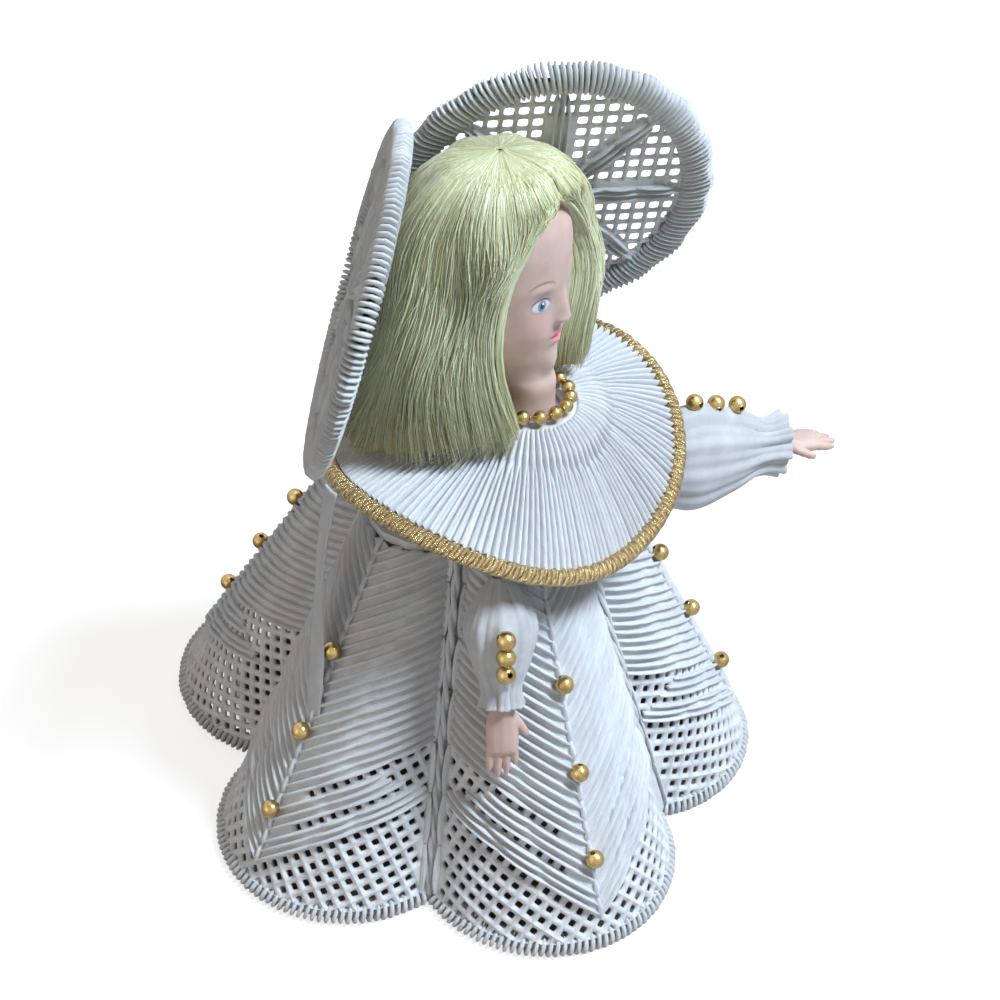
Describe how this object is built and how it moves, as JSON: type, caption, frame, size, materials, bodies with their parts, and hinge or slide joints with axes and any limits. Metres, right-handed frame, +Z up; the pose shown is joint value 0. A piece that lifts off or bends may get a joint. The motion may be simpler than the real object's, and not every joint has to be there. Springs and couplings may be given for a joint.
{
  "type": "craft doll angel",
  "caption": "Handmade angel doll: bell skirt of curved open-mesh gores, round cape with gold rope, long blonde hair, gathered sleeves and two round mesh wings.",
  "frame": {"origin": "under the middle of the whole doll, on the surface it stands on", "axes": "+Z up, the doll's chest faces -Y, its left side is +X"},
  "size_m": [0.1578, 0.1642, 0.2015],
  "materials": {
    "stitched_mesh": "yarn satin-stitched on open plastic mesh",
    "white_yarn": "matte white yarn",
    "white_satin": "soft satin sheen",
    "gold_bead": "metal-coated, shiny",
    "gold_rope": "twisted metallic cord",
    "doll_skin": "soft vinyl",
    "blonde_hair": "fine silky fibre",
    "covered_wire": "white fuzzy craft stem"
  },
  "bodies": {
    "doll_body": {"skirt_gore_1": "stitched_mesh", "skirt_hem_1": "white_yarn", "gore_seam_1": "white_yarn", "skirt_bead_1_1": "gold_bead", "skirt_bead_1_2": "gold_bead", "skirt_bead_1_3": "gold_bead", "skirt_gore_2": "stitched_mesh", "skirt_hem_2": "white_yarn", "gore_seam_2": "white_yarn", "skirt_bead_2_1": "gold_bead", "skirt_bead_2_2": "gold_bead", "skirt_bead_2_3": "gold_bead", "skirt_gore_3": "stitched_mesh", "skirt_hem_3": "white_yarn", "gore_seam_3": "white_yarn", "skirt_bead_3_1": "gold_bead", "skirt_bead_3_2": "gold_bead", "skirt_bead_3_3": "gold_bead", "skirt_gore_4": "stitched_mesh", "skirt_hem_4": "white_yarn", "gore_seam_4": "white_yarn", "skirt_bead_4_1": "gold_bead", "skirt_bead_4_2": "gold_bead", "skirt_bead_4_3": "gold_bead", "skirt_gore_5": "stitched_mesh", "skirt_hem_5": "white_yarn", "gore_seam_5": "white_yarn", "skirt_bead_5_1": "gold_bead", "skirt_bead_5_2": "gold_bead", "skirt_bead_5_3": "gold_bead", "waist_disc": "stitched_mesh", "bodice_tube": "stitched_mesh", "cape": "white_yarn", "cape_rope": "gold_rope", "necklace": "gold_bead", "shoulder_wire_left": "covered_wire", "shoulder_wire_right": "covered_wire", "wing_left": "stitched_mesh", "wing_binding_left": "white_yarn", "wing_right": "stitched_mesh", "wing_binding_right": "white_yarn", "wing_root_seam": "white_yarn", "back_ribbon": "white_satin"},
    "doll_head": {"head": "doll_skin", "hair": "blonde_hair"},
    "left_arm": {"arm_wire_left": "covered_wire", "sleeve_left": "white_satin", "hand_left": "doll_skin", "sleeve_bead_left_1": "gold_bead", "sleeve_bead_left_2": "gold_bead", "sleeve_bead_left_3": "gold_bead"},
    "right_arm": {"arm_wire_right": "covered_wire", "sleeve_right": "white_satin", "hand_right": "doll_skin", "sleeve_bead_right_1": "gold_bead", "sleeve_bead_right_2": "gold_bead", "sleeve_bead_right_3": "gold_bead"}
  },
  "joints": [
    {"name": "head_swivel", "type": "hinge", "parent": "doll_body", "child": "doll_head", "pos_m": [0.00156, -0.0213, 0.1213], "axis": [0, 0, 1], "range_deg": [-10, 30]},
    {"name": "left_arm_bend", "type": "hinge", "parent": "doll_body", "child": "left_arm", "pos_m": [0.03479, -0.03986, 0.088], "axis": [0.6428, 0.766, 0], "range_deg": [-10, 30]},
    {"name": "right_arm_bend", "type": "hinge", "parent": "doll_body", "child": "right_arm", "pos_m": [-0.03444, -0.03411, 0.095], "axis": [0.5736, -0.8192, 0], "range_deg": [-45, 0]}
  ]
}
